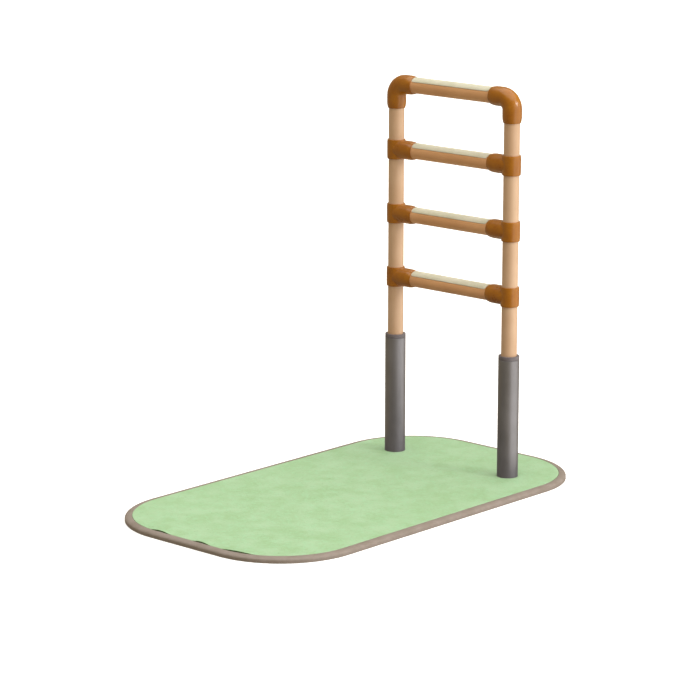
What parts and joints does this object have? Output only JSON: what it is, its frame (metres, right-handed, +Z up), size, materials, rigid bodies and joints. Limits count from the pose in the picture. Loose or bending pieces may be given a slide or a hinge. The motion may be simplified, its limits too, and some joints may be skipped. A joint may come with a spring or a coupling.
{
  "type": "floor-standing stand-assist rail",
  "caption": "Free-standing assist rail: a mat-covered base with a bevelled edge, and a height-adjustable ladder of round pipe rails with grip strips.",
  "frame": {"origin": "on the floor, under the middle of the base", "axes": "+X along the rails from the left post to the right post, +Y along the base towards the posts, +Z up"},
  "size_m": [0.5274, 0.935, 0.804],
  "materials": {
    "underlay_rubber": "matt black non-slip rubber sheet",
    "plate_steel": "grey primed steel plate",
    "mat_vinyl": "matt mottled light green foamed vinyl",
    "trim_elastomer": "satin taupe elastomer extrusion",
    "sleeve_paint": "satin grey paint on steel tube",
    "fixing_steel": "zinc-plated steel",
    "bush_plastic": "dark grey moulded plastic",
    "post_coating": "satin beige resin coating on steel pipe",
    "rail_coating": "satin tan resin coating on steel pipe",
    "joint_plastic": "semi-gloss ochre brown moulded plastic",
    "strip_elastomer": "matt pale greenish cream soft strip with fine ribs"
  },
  "bodies": {
    "base": {"underlay": "underlay_rubber", "base_plate": "plate_steel", "mat": "mat_vinyl", "edge_trim": "trim_elastomer", "sleeve_left": "sleeve_paint", "sleeve_right": "sleeve_paint", "sleeve_foot_left": "fixing_steel", "sleeve_foot_right": "fixing_steel", "foot_screw_left_1": "fixing_steel", "foot_screw_left_2": "fixing_steel", "foot_screw_left_3": "fixing_steel", "foot_screw_right_1": "fixing_steel", "foot_screw_right_2": "fixing_steel", "foot_screw_right_3": "fixing_steel", "guide_bush_left": "bush_plastic", "guide_bush_right": "bush_plastic", "lock_saddle_left": "fixing_steel", "lock_saddle_right": "fixing_steel"},
    "rail_frame": {"post_left": "post_coating", "post_right": "post_coating", "post_glide_left": "bush_plastic", "post_glide_right": "bush_plastic", "tee_left_upper": "joint_plastic", "tee_left_middle": "joint_plastic", "tee_left_lower": "joint_plastic", "tee_right_upper": "joint_plastic", "tee_right_middle": "joint_plastic", "tee_right_lower": "joint_plastic", "elbow_left": "joint_plastic", "elbow_right": "joint_plastic", "top_rail": "rail_coating", "rung_upper": "rail_coating", "rung_middle": "rail_coating", "rung_lower": "rail_coating", "top_rail_strip": "strip_elastomer", "rung_upper_strip": "strip_elastomer", "rung_middle_strip": "strip_elastomer", "rung_lower_strip": "strip_elastomer"},
    "left_bolt": {"lock_bolt_left": "fixing_steel"},
    "right_bolt": {"lock_bolt_right": "fixing_steel"}
  },
  "joints": [
    {"name": "height_adjust", "type": "slide", "parent": "base", "child": "rail_frame", "axis": [0, 0, 1], "range_m": [-0.1, 0]},
    {"name": "left_bolt_release", "type": "slide", "parent": "base", "child": "left_bolt", "axis": [0, 1, 0], "range_m": [0, 0.008]},
    {"name": "right_bolt_release", "type": "slide", "parent": "base", "child": "right_bolt", "axis": [0, 1, 0], "range_m": [0, 0.008]}
  ]
}
